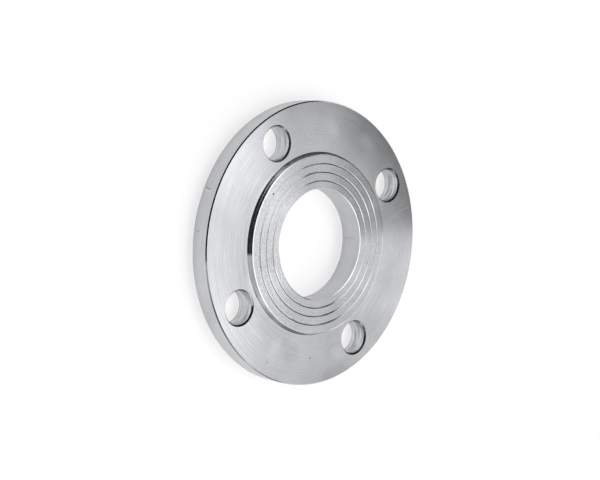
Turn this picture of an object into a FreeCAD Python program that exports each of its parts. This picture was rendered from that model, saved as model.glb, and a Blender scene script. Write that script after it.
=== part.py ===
import FreeCAD, Part
import os

import Sketcher

# Slip-on pipe flange, turned from one plate: a round disc with a raised gasket face, V grooves
# cut into that face, a plain bore that slips over the pipe, and a ring of bolt holes.
# The origin is the centre of the back face. +Z runs along the bore, towards the raised face.
# Sizes are in millimetres. Each ring of the flange starts where the one inside it ends: the
# pipe sets the bore, then come the raised face, the bolt holes and the rim. With the sizes
# below, the bolt circle is 125 across and the rim is 155 across.

NODE = "flange"

SIZES = [
    ("pipe_diameter", 60.3, "outside of the pipe that goes through the bore"),
    ("pipe_clearance", 0.2, "gap all round the pipe"),
    ("rim_thickness", 11.2, "plate, from the back face to the bolting face"),
    ("face_height", 3.0, "raised face, above the bolting face"),
    ("face_width", 18.4, "raised face, from the bore to its outer edge"),
    ("flank_width", 1.35, "sloping flank round the raised face, seen from the front"),
    ("groove_count", 3, "V grooves in the raised face"),
    ("groove_width", 1.0, "V groove, across its mouth"),
    ("groove_depth", 0.2, "V groove, down to its point"),
    ("inner_land", 4.3, "from the bore to the middle of the first groove"),
    ("outer_land", 4.8, "from the middle of the last groove to the edge of the raised face"),
    ("bolt_diameter", 16.0, "bolt that goes through each hole"),
    ("bolt_clearance", 1.0, "gap all round a bolt"),
    ("bolt_count", 4, "bolt holes"),
    ("inner_web", 3.4, "metal between the foot of the flank and a bolt hole"),
    ("outer_web", 6.0, "metal between a bolt hole and the rim"),
    ("hole_chamfer", 0.9, "front edge of each bolt hole"),
    ("edge_width", 0.4, "bevel on both edges of the raised face, seen from the front"),
    ("edge_depth", 0.18, "the same bevel, seen from the side"),
    ("rim_chamfer", 0.6, "front edge of the rim"),
    ("back_chamfer", 0.3, "every edge of the back face"),
]

# Radii, heights and angles worked out from the sheet, as formulas that its cells drive.
BORE_RADIUS = "(Sizes.pipe_diameter / 2 + Sizes.pipe_clearance)"
FACE_RADIUS = f"({BORE_RADIUS} + Sizes.face_width)"
FOOT_RADIUS = f"({FACE_RADIUS} + Sizes.flank_width)"
HOLE_RADIUS = "(Sizes.bolt_diameter / 2 + Sizes.bolt_clearance)"
BOLT_CIRCLE_RADIUS = f"({FOOT_RADIUS} + Sizes.inner_web + {HOLE_RADIUS})"
RIM_RADIUS = f"({BOLT_CIRCLE_RADIUS} + {HOLE_RADIUS} + Sizes.outer_web)"
BACK = "0"
RIM_TOP = "Sizes.rim_thickness"
FACE_TOP = "(Sizes.rim_thickness + Sizes.face_height)"
EDGE_FOOT = f"({FACE_TOP} - Sizes.edge_depth)"
FLANK_TOP_RADIUS = f"({FACE_RADIUS} + Sizes.flank_width * Sizes.edge_depth / Sizes.face_height)"
FIRST_GROOVE_RADIUS = f"({BORE_RADIUS} + Sizes.inner_land)"
LAST_GROOVE_RADIUS = f"({FACE_RADIUS} - Sizes.outer_land)"
FIRST_BOLT_ANGLE = "(180 deg / Sizes.bolt_count)"

FULL_TURN = 360.0
COUNTERSINK_ANGLE = 120.0

# A sketch names its own origin and the points of an edge by number.
ORIGIN = -1
START = 1
END = 2
CENTRE = 3

SAME_PLACE = 0.001


def make_sheet(doc):
    """Write the driving sizes into a sheet, one to a row, and name each value's cell."""
    sheet = doc.addObject("Spreadsheet::Sheet", "Sizes")
    for row, (name, size, meaning) in enumerate(SIZES, start=1):
        sheet.set(f"A{row}", name)
        sheet.set(f"B{row}", str(size))
        sheet.set(f"C{row}", meaning)
        sheet.setAlias(f"B{row}", name)
    doc.recompute()
    return sheet


def as_number(thing, formula):
    """What a formula comes to with the sizes now in the sheet."""
    result = thing.evalExpression(formula)
    return float(getattr(result, "Value", result))


def origin_feature(body, role):
    """One of the body's own origin planes or axes."""
    return next(feature for feature in body.Origin.OriginFeatures if feature.Role == role)


def new_sketch(body, name, plane_role):
    """Start a sketch on one of the body's own origin planes."""
    sketch = body.newObject("Sketcher::SketchObject", name)
    sketch.AttachmentSupport = [(origin_feature(body, plane_role), "")]
    sketch.MapMode = "FlatFace"
    return sketch


def tie(sketch, name, kind, places, formula):
    """Add a named dimension that follows a formula of the sheet."""
    size = as_number(sketch, formula)
    number = sketch.addConstraint(Sketcher.Constraint(kind, *places, size))
    sketch.renameConstraint(number, name)
    sketch.setExpression(f"Constraints.{name}", formula)


def draw_outline(sketch, corners):
    """Draw a closed outline through corners, each a pair of formulas: its radius and height."""
    points = [
        FreeCAD.Vector(as_number(sketch, radius), as_number(sketch, height), 0)
        for radius, height in corners
    ]
    for index, point in enumerate(points):
        following = points[(index + 1) % len(points)]
        sketch.addGeometry(Part.LineSegment(point, following))
    for index, (radius, height) in enumerate(corners):
        before = (index - 1) % len(corners)
        sketch.addConstraint(Sketcher.Constraint("Coincident", before, END, index, START))
        corner = (ORIGIN, START, index, START)
        tie(sketch, f"radius_{index + 1}", "DistanceX", corner, radius)
        tie(sketch, f"height_{index + 1}", "DistanceY", corner, height)


def turn(body, kind, name, corners):
    """Turn an outline once round the bore's axis: a Revolution adds metal, a Groove cuts it."""
    sketch = new_sketch(body, f"{name}_outline", "XZ_Plane")
    draw_outline(sketch, corners)
    feature = body.newObject(kind, name)
    feature.Profile = sketch
    feature.ReferenceAxis = (sketch, ["V_Axis"])
    feature.Angle = FULL_TURN


def turn_blank(body):
    """The disc with its bore and its raised face, whose two edges have a shallow bevel."""
    turn(body, "PartDesign::Revolution", "blank", [
        (BORE_RADIUS, BACK),
        (RIM_RADIUS, BACK),
        (RIM_RADIUS, RIM_TOP),
        (FOOT_RADIUS, RIM_TOP),
        (FLANK_TOP_RADIUS, EDGE_FOOT),
        (f"{FACE_RADIUS} - Sizes.edge_width", FACE_TOP),
        (f"{BORE_RADIUS} + Sizes.edge_width", FACE_TOP),
        (BORE_RADIUS, EDGE_FOOT),
    ])


def cut_grooves(body, count):
    """V grooves round the raised face, evenly spaced between its two plain lands."""
    for index in range(count):
        share = index / max(count - 1, 1)
        middle = f"({FIRST_GROOVE_RADIUS} * {1 - share} + {LAST_GROOVE_RADIUS} * {share})"
        turn(body, "PartDesign::Groove", f"v_groove_{index + 1}", [
            (f"{middle} - Sizes.groove_width / 2", FACE_TOP),
            (middle, f"{FACE_TOP} - Sizes.groove_depth"),
            (f"{middle} + Sizes.groove_width / 2", FACE_TOP),
        ])


def drill_bolt_holes(body):
    """One countersunk hole, drilled down from the bolting face and repeated round the bore."""
    sketch = new_sketch(body, "first_hole_outline", "XY_Plane")
    sketch.setExpression("AttachmentOffset.Base.z", RIM_TOP)
    across = f"{BOLT_CIRCLE_RADIUS} * cos({FIRST_BOLT_ANGLE})"
    along = f"{BOLT_CIRCLE_RADIUS} * sin({FIRST_BOLT_ANGLE})"
    centre = FreeCAD.Vector(as_number(sketch, across), as_number(sketch, along), 0)
    radius = as_number(sketch, HOLE_RADIUS)
    circle = sketch.addGeometry(Part.Circle(centre, FreeCAD.Vector(0, 0, 1), radius))
    place = (ORIGIN, START, circle, CENTRE)
    tie(sketch, "across", "DistanceX", place, across)
    tie(sketch, "along", "DistanceY", place, along)
    tie(sketch, "wall", "Radius", (circle,), HOLE_RADIUS)

    hole = body.newObject("PartDesign::Hole", "first_hole")
    hole.Profile = sketch
    body.Document.recompute()
    hole.ThreadType = "None"
    hole.DepthType = "ThroughAll"
    hole.HoleCutType = "Countersink"
    hole.HoleCutCustomValues = True
    hole.HoleCutCountersinkAngle = COUNTERSINK_ANGLE
    hole.setExpression("Diameter", f"2 * {HOLE_RADIUS}")
    hole.setExpression("HoleCutDiameter", f"2 * ({HOLE_RADIUS} + Sizes.hole_chamfer)")

    pattern = body.newObject("PartDesign::PolarPattern", "bolt_holes")
    pattern.Originals = [hole]
    pattern.Axis = (origin_feature(body, "Z_Axis"), [""])
    pattern.Angle = FULL_TURN
    pattern.setExpression("Occurrences", "Sizes.bolt_count")
    body.Tip = pattern


def ring_edges(shape, radius, height):
    """Names of the shape's round edges that have this radius and lie at this height."""
    names = []
    for number, edge in enumerate(shape.Edges, start=1):
        curve = edge.Curve
        if not isinstance(curve, Part.Circle):
            continue
        if abs(curve.Radius - radius) > SAME_PLACE or abs(curve.Center.z - height) > SAME_PLACE:
            continue
        names.append(f"Edge{number}")
    return names


def chamfer(body, name, size_name, rings):
    """Bevel the round edges whose radius and height the rings give, as pairs of formulas."""
    body.Document.recompute()
    base = body.Tip
    edges = []
    for radius, height in rings:
        found = ring_edges(base.Shape, as_number(base, radius), as_number(base, height))
        if not found:
            raise RuntimeError(f"{name}: no edge of radius {radius} at height {height}")
        edges.extend(found)
    feature = body.newObject("PartDesign::Chamfer", name)
    feature.Base = (base, edges)
    feature.setExpression("Size", f"Sizes.{size_name}")


def make_flange(doc, sheet):
    """The whole flange, in the order in which it is turned and drilled."""
    body = doc.addObject("PartDesign::Body", NODE)
    body.Label = NODE
    turn_blank(body)
    chamfer(body, "rim_bevel", "rim_chamfer", [(RIM_RADIUS, RIM_TOP)])
    cut_grooves(body, int(sheet.get("groove_count")))
    drill_bolt_holes(body)
    chamfer(body, "back_bevel", "back_chamfer", [
        (BORE_RADIUS, BACK),
        (HOLE_RADIUS, BACK),
        (RIM_RADIUS, BACK),
    ])
    doc.recompute()
    return body


def check(doc, body):
    """Stop if anything failed, if the flange isn't one sound solid, or if a cut removed nothing."""
    for thing in doc.Objects:
        if "Invalid" in thing.State or "Error" in thing.State:
            raise RuntimeError(f"{thing.Name} failed: {thing.State}")
    if body.Shape.isNull() or not body.Shape.isValid() or len(body.Shape.Solids) != 1:
        raise RuntimeError(f"{body.Label} isn't one valid solid")
    steps = [thing for thing in body.Group if thing.isDerivedFrom("PartDesign::Feature")]
    for before, after in zip(steps, steps[1:]):
        if after.Shape.Volume >= before.Shape.Volume:
            raise RuntimeError(f"{after.Name} removed no metal")


def main():
    doc = FreeCAD.newDocument("flange")
    sheet = make_sheet(doc)
    body = make_flange(doc, sheet)
    check(doc, body)
    os.makedirs("parts", exist_ok=True)
    body.Shape.exportStep(f"parts/{body.Label}.step")
    box = body.Shape.BoundBox
    print(f"{body.Label}: {box.XLength:.2f} x {box.YLength:.2f} x {box.ZLength:.2f} mm,"
          f" {body.Shape.Volume / 1000:.2f} cm3, {len(body.Shape.Faces)} faces")


main()
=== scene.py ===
import math

import bpy
from mathutils import Matrix, Vector

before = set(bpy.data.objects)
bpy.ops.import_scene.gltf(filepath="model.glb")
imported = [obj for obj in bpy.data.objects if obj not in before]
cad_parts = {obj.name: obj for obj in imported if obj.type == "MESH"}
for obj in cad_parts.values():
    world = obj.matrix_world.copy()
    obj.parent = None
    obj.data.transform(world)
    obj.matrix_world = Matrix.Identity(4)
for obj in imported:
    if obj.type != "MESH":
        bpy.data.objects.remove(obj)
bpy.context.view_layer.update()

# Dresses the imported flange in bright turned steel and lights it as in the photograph. It lies
# on a pale floor, back face down. Lengths are in metres in the part's own frame, with the bore
# along +Z, except inside the steel, where they are in millimetres.

# The camera looks down on the raised face, and is rolled so that the flange stands upright
# in the picture. Its numbers come from a least squares fit to the circles in the photo.
CAMERA_AIM = Vector((-0.01289, -0.00073, 0.0112))
CAMERA_AZIMUTH = math.radians(-172.667)
CAMERA_ELEVATION = math.radians(46.550)
CAMERA_DISTANCE = 0.74922
CAMERA_ROLL = math.radians(97.449)
CAMERA_LENS = 83.72

# The floor is of one colour for the light that falls on the flange, and of another, with a glow,
# where the camera or the metal sees it.
FLOOR_SIZE = 12.0
FLOOR_DROP = 0.0001
FLOOR_COLOUR = 0.9
FLOOR_WHERE_SEEN = 0.8
FLOOR_GLOW = 0.65

# The studio's own directions, for an eye at the flange. The picture's right lies this far round
# from the part's +X. Rise is the angle towards the picture's top, and swing the angle to the
# picture's right, from straight up off the face. Each light has two limits of rise, two limits
# of swing, the width of its soft edge, all in degrees, and its strength. They add up where they
# overlap. The rest of the room is nearly dark. Most of these numbers were fitted to the photo's
# tones by another program and then rounded. The others were changed or added one by one.
STUDIO_TURN = math.radians(14.78)
ROOM = 0.02
LIGHTS = {
    "soft_box": (-26, 26, -7, 29, 21, 0.73),
    "box_core": (-20, 15, 12, 50, 3, 0.80),
    "box_middle": (-120, 39, 1, 34, 3, 0.21),
    "box_top": (5, 39, 8, 50, 5, 0.22),
    "upper_strip": (6, 34, -4, 32, 6, 0.22),
    "front_strip": (-42, -18, -2, 46, 4, 0.77),
    "front_corner": (-42, -18, 46, 62, 4, 0.56),
    "table_in_front": (-120, -10, -48, 60, 3, 0.07),
    "table_on_the_left": (-120, -13, -130, -48, 4, 0.56),
    "strip_on_the_right": (-27, -3.5, 56, 116, 3, 0.80),
    "top_of_right_strip": (-16, -3.5, 56, 116, 3, 0.39),
    "foot_of_table": (-130, -64, -130, 130, 30, 0.40),
}

# The steel, in millimetres.
MM = 1000.0
STEEL = (0.635, 0.645, 0.665)
FLAT_ROUGHNESS = 0.26
BEVEL_ROUGHNESS = 0.10
WALL_ROUGHNESS = 0.30
ACROSS_TO_ALONG = 0.95
BOLT_HOLE_AT = 44.194
BOLT_HOLE_REACH = 9.95
RIM_RADIUS = 77.5
RAISED_FACE_FROM = 14.1
RAISED_FACE_EDGE = 48.75
RAISED_FACE_MIDDLE = 39.55
MIDDLE_TO_BEVELS = 9.03
BEVEL_REACH = 0.3

# How strongly the axis guides the tool marks on a surface that is nearly level.
AXIS_PULL = 0.05

# Surfaces are told apart by how upright their normals are: 1 is a level face and 0 is a wall.
FLAT_FROM = 0.98
WALL_UP_TO = 0.05
FLANK_UPRIGHT = 0.41
EDGE_UPRIGHT = 0.91
UPRIGHT_MARGIN = 0.05

# The flat faces are shaded as if crowned, by about 4 degrees on the raised face and by 1 to 9
# degrees on the bolting face. That is only to match the photo's tones: a real flange isn't so
# crowned, and the mesh stays flat. The raised face has one slope all over, and the slope of the
# bolting face grows in a straight line between the axis and the rim.
RAISED_FACE_CROWN = 0.068
CROWN_AT_AXIS = -0.225
CROWN_AT_RIM = 0.1625

# Rings left by the tools: their pitch, and how much they change on the way round.
RINGS = {
    "fine": (0.45, 3.0),
    "bands": (1.6, 1.5),
    "burrs": (0.6, 36.0),
    "drill": (0.9, 0.7),
}
FEED_PITCH = 0.93

# How far each kind of mark, and each kind of surface, leans the metal across the tool marks.
LEANS = {
    "fine": 0.09,
    "bands": 0.055,
    "feed": 0.02,
    "burrs": 0.20,
    "drill": 0.80,
    "wall": -0.12,
    "flank": -0.07,
    "edge": -0.17,
}

# How much lighter the marks and patches make it, and the painted light on the bolt holes' walls.
SHINES = {
    "smudge": 0.32,
    "bands": 0.10,
    "fine": 0.16,
    "feed": 0.07,
    "grain": 0.22,
    "burrs": 0.30,
    "drill": 1.60,
    # The walls of the bolt holes are made lighter all over. That is painted light, in place of the
    # light that the shaded floor inside the holes doesn't give back to them.
    "painted_hole_wall_light": 0.12,
}

# Soft patches and grain: their size and detail, and how much rougher they and the marks are.
SMUDGE = (16.0, 3.0)
GRAIN = (1.0, 1.0)
GRAIN_OFF_RAISED_FACE = 0.35
PATCH_ROUGHER = 0.05
MARK_ROUGHER = 0.15

# A mark is whole up to the first of these shares of its oval, squared, and gone at the second.
# A large smudge fades over more of it, and its outline is ragged.
MARK_WHOLE = 0.3
MARK_GONE = 1.3
SMUDGE_WHOLE = -0.6
SMUDGE_RAGGED = 3.0

# Marks that this flange has picked up: where each one is, the way it runs, its length and
# width, and how much darker it is than the metal round it. Lighter ones are below zero.
MARKS = {
    "pit": ((-41.6, 17.8, 14.2), (0.0, 1.0, 0.0), 1.5, 1.1, 0.75),
    "rim_scuff": ((-76.6, 11.4, 3.8), (0.0, -0.2, 1.0), 5.4, 0.8, 0.35),
    "rim_scuff_burr": ((-76.8, 10.0, 3.8), (0.0, -0.2, 1.0), 5.0, 0.8, -0.30),
    "rim_nick": ((-76.7, -11.2, 3.8), (0.0, 0.2, 1.0), 3.0, 0.8, 0.20),
    "scratch_top": ((-4.5, 61.7, 11.2), (0.93, -0.36, 0.0), 9.0, 0.8, -0.10),
    "scratch_right": ((62.2, 34.7, 11.2), (0.83, 0.56, 0.0), 13.0, 0.7, -0.12),
    "bore_scratch": ((28.9, 9.4, 6.0), (0.0, 0.0, 1.0), 11.0, 0.8, 0.15),
    "spot_below": ((14.0, -61.0, 11.2), (1.0, 0.0, 0.0), 1.4, 1.1, 0.35),
    "spot_left": ((-16.7, -68.3, 11.2), (1.0, 0.0, 0.0), 1.4, 1.1, 0.30),
}

# Large smudges on the bolting face, given in the same way.
LARGE_SMUDGES = {
    "top": ((-7.6, 62.8, 11.2), (1.0, -0.5, 0.0), 13.0, 9.0, -0.13),
    "top_right": ((21.7, 63.1, 11.2), (1.0, -0.3, 0.0), 16.0, 11.0, -0.20),
    "below": ((-1.0, -59.0, 11.2), (1.0, 0.0, 0.0), 19.0, 14.0, 0.16),
    "below_left": ((-13.0, -61.0, 11.2), (0.5, 1.0, 0.0), 14.0, 9.0, -0.13),
    "below_right": ((34.8, -54.4, 11.2), (1.0, 0.3, 0.0), 13.0, 9.0, -0.16),
    "at_edge": ((34.0, -67.0, 11.2), (1.0, 0.5, 0.0), 22.0, 11.0, 0.14),
}


def add_node(tree, kind, inputs=None, **settings):
    """Add a node, set its options, and give its inputs numbers or other nodes' outputs."""
    node = tree.nodes.new(kind)
    for name, value in settings.items():
        setattr(node, name, value)
    for key, value in (inputs or {}).items():
        if isinstance(value, bpy.types.NodeSocket):
            tree.links.new(value, node.inputs[key])
        else:
            node.inputs[key].default_value = value
    return node


def calc(tree, operation, *values):
    """A sum on numbers."""
    node = add_node(tree, "ShaderNodeMath", dict(enumerate(values)), operation=operation)
    return node.outputs["Value"]


def vector(tree, operation, *values):
    """A sum on vectors that gives a vector."""
    node = add_node(tree, "ShaderNodeVectorMath", dict(enumerate(values)), operation=operation)
    return node.outputs["Vector"]


def length(tree, value):
    """How long a vector is."""
    node = add_node(tree, "ShaderNodeVectorMath", {0: value}, operation="LENGTH")
    return node.outputs["Value"]


def scaled(tree, value, factor):
    """A vector times a number."""
    inputs = {"Vector": value, "Scale": factor}
    return add_node(tree, "ShaderNodeVectorMath", inputs, operation="SCALE").outputs["Vector"]


def blend(tree, factor, low, high):
    """A number that goes from low to high as the factor goes from 0 to 1."""
    inputs = {"Factor": factor, "A": low, "B": high}
    return add_node(tree, "ShaderNodeMix", inputs, data_type="FLOAT").outputs["Result"]


def step_up(tree, value, start, end):
    """A soft step: 0 up to the start and 1 from the end on."""
    inputs = {"Value": value, "From Min": start, "From Max": end}
    node = add_node(tree, "ShaderNodeMapRange", inputs, interpolation_type="SMOOTHSTEP")
    return node.outputs["Result"]


def split(tree, value):
    """A vector's X, Y and Z."""
    return add_node(tree, "ShaderNodeSeparateXYZ", {"Vector": value}).outputs


def make_camera():
    """A camera at the photograph's viewing angle."""
    data = bpy.data.cameras.new("camera")
    data.lens = CAMERA_LENS
    data.sensor_width = 36.0
    data.clip_start = 0.01
    data.clip_end = 20.0
    camera = bpy.data.objects.new("camera", data)
    bpy.context.scene.collection.objects.link(camera)
    back = Vector((
        math.cos(CAMERA_AZIMUTH) * math.cos(CAMERA_ELEVATION),
        math.sin(CAMERA_AZIMUTH) * math.cos(CAMERA_ELEVATION),
        math.sin(CAMERA_ELEVATION),
    ))
    level = (-back).to_track_quat("-Z", "Y").to_matrix()
    turned = level @ Matrix.Rotation(CAMERA_ROLL, 3, "Z")
    camera.matrix_world = Matrix.Translation(CAMERA_AIM + back * CAMERA_DISTANCE) @ turned.to_4x4()
    bpy.context.scene.camera = camera


def make_floor():
    """A plain pale floor, which the camera and the metal see as a white background."""
    data = bpy.data.meshes.new("floor")
    half = FLOOR_SIZE / 2
    corners = [(-half, -half), (half, -half), (half, half), (-half, half)]
    data.from_pydata([(x, y, -FLOOR_DROP) for x, y in corners], [], [(0, 1, 2, 3)])
    floor = bpy.data.objects.new("floor", data)
    bpy.context.scene.collection.objects.link(floor)
    material = bpy.data.materials.new("floor_paper")
    material.use_nodes = True
    tree = material.node_tree
    shader = tree.nodes["Principled BSDF"]
    path = add_node(tree, "ShaderNodeLightPath").outputs
    in_view = path["Is Camera Ray"]
    in_metal = calc(tree, "MAXIMUM", path["Is Glossy Ray"], path["Is Transmission Ray"])
    seen = calc(tree, "MAXIMUM", in_view, in_metal)
    tone = blend(tree, seen, FLOOR_COLOUR, FLOOR_WHERE_SEEN)
    colour = add_node(tree, "ShaderNodeCombineColor", {"Red": tone, "Green": tone, "Blue": tone})
    paper = add_node(tree, "ShaderNodeBsdfDiffuse", {"Color": colour.outputs["Color"]})
    strength = calc(tree, "MULTIPLY", seen, FLOOR_GLOW)
    glow = add_node(tree, "ShaderNodeEmission", {"Strength": strength})
    both = add_node(
        tree, "ShaderNodeAddShader",
        {0: paper.outputs["BSDF"], 1: glow.outputs["Emission"]},
    )
    tree.nodes.remove(shader)
    tree.links.new(both.outputs["Shader"], tree.nodes["Material Output"].inputs["Surface"])
    data.materials.append(material)


def make_studio():
    """Soft lights in an otherwise dark room."""
    world = bpy.data.worlds.new("studio")
    bpy.context.scene.world = world
    world.use_nodes = True
    tree = world.node_tree
    view = add_node(tree, "ShaderNodeTexCoord").outputs["Generated"]
    turn = add_node(
        tree, "ShaderNodeVectorRotate",
        {"Vector": view, "Angle": -STUDIO_TURN}, rotation_type="Z_AXIS",
    )
    right, top, off_face = split(tree, turn.outputs["Vector"])
    rise = calc(tree, "DEGREES", calc(tree, "ARCSINE", top))
    swing = calc(tree, "DEGREES", calc(tree, "ARCTAN2", right, off_face))
    light = ROOM
    for low, high, left, far_right, edge, strength in LIGHTS.values():
        half = edge / 2
        shape = calc(
            tree, "MULTIPLY",
            step_up(tree, rise, low - half, low + half),
            calc(tree, "SUBTRACT", 1.0, step_up(tree, rise, high - half, high + half)),
        )
        shape = calc(tree, "MULTIPLY", shape, step_up(tree, swing, left - half, left + half))
        past = step_up(tree, swing, far_right - half, far_right + half)
        shape = calc(tree, "MULTIPLY", shape, calc(tree, "SUBTRACT", 1.0, past))
        light = calc(tree, "MULTIPLY_ADD", shape, strength, light)
    tree.links.new(light, tree.nodes["Background"].inputs["Strength"])
    tree.nodes["Background"].inputs["Color"].default_value = (1, 1, 1, 1)


def make_steel():
    """Bare steel with the marks of the lathe tool and the drill running round it, and painted
    light on the walls of the bolt holes.
    """
    material = bpy.data.materials.new("turned_steel_finish")
    material.use_nodes = True
    tree = material.node_tree
    shader = tree.nodes["Principled BSDF"]

    place = add_node(tree, "ShaderNodeTexCoord").outputs
    point = scaled(tree, place["Object"], MM)
    normal = place["Normal"]
    level = vector(tree, "MULTIPLY", point, (1.0, 1.0, 0.0))
    outward = vector(tree, "NORMALIZE", level)
    radius = length(tree, level)
    height = split(tree, point)["Z"]
    upright = calc(tree, "ABSOLUTE", split(tree, normal)["Z"])
    sideways = vector(tree, "MULTIPLY", normal, (1.0, 1.0, 0.0))

    # Directions along and across the tool marks, which circle whatever axis a surface turns on.
    guide = vector(tree, "ADD", sideways, scaled(tree, outward, AXIS_PULL))
    along = vector(tree, "CROSS_PRODUCT", (0.0, 0.0, 1.0), vector(tree, "NORMALIZE", guide))
    across = vector(tree, "CROSS_PRODUCT", along, normal)

    on_flat = calc(tree, "GREATER_THAN", upright, FLAT_FROM)
    on_wall = calc(tree, "LESS_THAN", upright, WALL_UP_TO)
    on_flank = calc(tree, "COMPARE", upright, FLANK_UPRIGHT, UPRIGHT_MARGIN)
    from_middle = calc(tree, "ABSOLUTE", calc(tree, "SUBTRACT", radius, RAISED_FACE_MIDDLE))
    on_edge = calc(
        tree, "MULTIPLY",
        calc(tree, "COMPARE", from_middle, MIDDLE_TO_BEVELS, BEVEL_REACH),
        calc(tree, "COMPARE", upright, EDGE_UPRIGHT, UPRIGHT_MARGIN),
    )

    to_hole = vector(tree, "ABSOLUTE", level)
    to_hole = vector(tree, "SUBTRACT", to_hole, (BOLT_HOLE_AT, BOLT_HOLE_AT, 0.0))
    hole_radius = length(tree, to_hole)
    in_hole = calc(tree, "LESS_THAN", hole_radius, BOLT_HOLE_REACH)
    ring = blend(tree, in_hole, radius, hole_radius)
    reach = calc(
        tree, "ADD",
        calc(tree, "MULTIPLY", ring, upright),
        calc(tree, "MULTIPLY", height, length(tree, sideways)),
    )

    def marks(pitch, swirl, from_axis=outward):
        """Uneven rings of about this pitch, from -0.5 to 0.5, that change on their way round."""
        depth = add_node(tree, "ShaderNodeCombineXYZ", {"Z": calc(tree, "DIVIDE", reach, pitch)})
        where = vector(tree, "ADD", scaled(tree, from_axis, swirl), depth.outputs["Vector"])
        inputs = {"Vector": where, "Scale": 1.0, "Detail": 1.0}
        noise = add_node(tree, "ShaderNodeTexNoise", inputs)
        return calc(tree, "SUBTRACT", noise.outputs["Fac"], 0.5)

    def cloud(size, detail):
        """Soft patches of about this size, from -0.5 to 0.5."""
        inputs = {"Vector": point, "Scale": 1 / size, "Detail": detail}
        noise = add_node(tree, "ShaderNodeTexNoise", inputs)
        return calc(tree, "SUBTRACT", noise.outputs["Fac"], 0.5)

    def blot(centre, run, long, wide, whole=MARK_WHOLE, ragged=0.0):
        """1 inside an oval mark, fading to 0 at its edge, which can be ragged."""
        run = Vector(run).normalized()
        away = vector(tree, "SUBTRACT", point, centre)
        lengthwise = add_node(
            tree, "ShaderNodeVectorMath", {0: away, 1: run}, operation="DOT_PRODUCT",
        ).outputs["Value"]
        shift = scaled(tree, add_node(
            tree, "ShaderNodeCombineXYZ", dict(zip("XYZ", run)),
        ).outputs["Vector"], lengthwise)
        sidewise = length(tree, vector(tree, "SUBTRACT", away, shift))
        lengthwise = calc(tree, "DIVIDE", lengthwise, long / 2)
        sidewise = calc(tree, "DIVIDE", sidewise, wide / 2)
        off = calc(
            tree, "ADD",
            calc(tree, "MULTIPLY", lengthwise, lengthwise),
            calc(tree, "MULTIPLY", sidewise, sidewise),
        )
        off = calc(tree, "MULTIPLY_ADD", smudge, ragged, off)
        return calc(tree, "SUBTRACT", 1.0, step_up(tree, off, whole, MARK_GONE))

    on_raised_face = calc(
        tree, "MULTIPLY",
        calc(tree, "GREATER_THAN", height, RAISED_FACE_FROM),
        calc(tree, "LESS_THAN", radius, RAISED_FACE_EDGE),
    )
    smudge = cloud(*SMUDGE)
    off_raised_face = blend(tree, on_raised_face, GRAIN_OFF_RAISED_FACE, 1.0)
    grain = calc(tree, "MULTIPLY", cloud(*GRAIN), off_raised_face)
    drill = marks(*RINGS["drill"], vector(tree, "NORMALIZE", to_hole))
    texture = {
        "fine": marks(*RINGS["fine"]),
        "bands": marks(*RINGS["bands"]),
        "feed": calc(tree, "SINE", calc(tree, "MULTIPLY", reach, 2 * math.pi / FEED_PITCH)),
        "burrs": calc(tree, "MULTIPLY", marks(*RINGS["burrs"]), on_raised_face),
        "drill": calc(tree, "MULTIPLY", drill, in_hole),
        "smudge": smudge,
        "grain": grain,
        "wall": on_wall,
        "flank": on_flank,
        "edge": on_edge,
        # The walls of the bolt holes, which get painted light.
        "painted_hole_wall_light": calc(tree, "MULTIPLY", in_hole, on_wall),
    }

    crown = blend(tree, calc(tree, "DIVIDE", radius, RIM_RADIUS), CROWN_AT_AXIS, CROWN_AT_RIM)
    crown = blend(tree, on_raised_face, crown, RAISED_FACE_CROWN)
    slope = calc(tree, "MULTIPLY", on_flat, crown)
    for name, amount in LEANS.items():
        slope = calc(tree, "MULTIPLY_ADD", texture[name], amount, slope)
    leaning = vector(tree, "NORMALIZE", vector(tree, "ADD", normal, scaled(tree, across, slope)))

    rough = blend(tree, on_flat, BEVEL_ROUGHNESS, FLAT_ROUGHNESS)
    rough = blend(tree, on_wall, rough, WALL_ROUGHNESS)
    rough = calc(tree, "MULTIPLY_ADD", smudge, PATCH_ROUGHER, rough)
    rough = calc(tree, "MULTIPLY_ADD", grain, PATCH_ROUGHER, rough)

    shine = 1.0
    for name, amount in SHINES.items():
        shine = calc(tree, "MULTIPLY_ADD", texture[name], amount, shine)
    for centre, run, long, wide, darker in MARKS.values():
        mark = blot(centre, run, long, wide)
        shine = calc(tree, "MULTIPLY", shine, calc(tree, "MULTIPLY_ADD", mark, -darker, 1.0))
        rough = calc(tree, "MULTIPLY_ADD", mark, MARK_ROUGHER * abs(darker), rough)
    for centre, run, long, wide, darker in LARGE_SMUDGES.values():
        mark = blot(centre, run, long, wide, whole=SMUDGE_WHOLE, ragged=SMUDGE_RAGGED)
        shine = calc(tree, "MULTIPLY", shine, calc(tree, "MULTIPLY_ADD", mark, -darker, 1.0))
    colour = scaled(tree, add_node(
        tree, "ShaderNodeCombineXYZ", dict(zip("XYZ", STEEL)),
    ).outputs["Vector"], shine)

    def to_world(value, kind):
        return add_node(
            tree, "ShaderNodeVectorTransform", {"Vector": value},
            vector_type=kind, convert_from="OBJECT", convert_to="WORLD",
        ).outputs["Vector"]

    tree.links.new(colour, shader.inputs["Base Color"])
    shader.inputs["Metallic"].default_value = 1.0
    shader.inputs["Anisotropic"].default_value = ACROSS_TO_ALONG
    tree.links.new(rough, shader.inputs["Roughness"])
    tree.links.new(to_world(leaning, "NORMAL"), shader.inputs["Normal"])
    tree.links.new(to_world(across, "VECTOR"), shader.inputs["Tangent"])
    return material


bpy.context.scene.view_settings.view_transform = "Standard"
make_camera()
make_floor()
make_studio()
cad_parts["flange"].material_slots[0].material = make_steel()
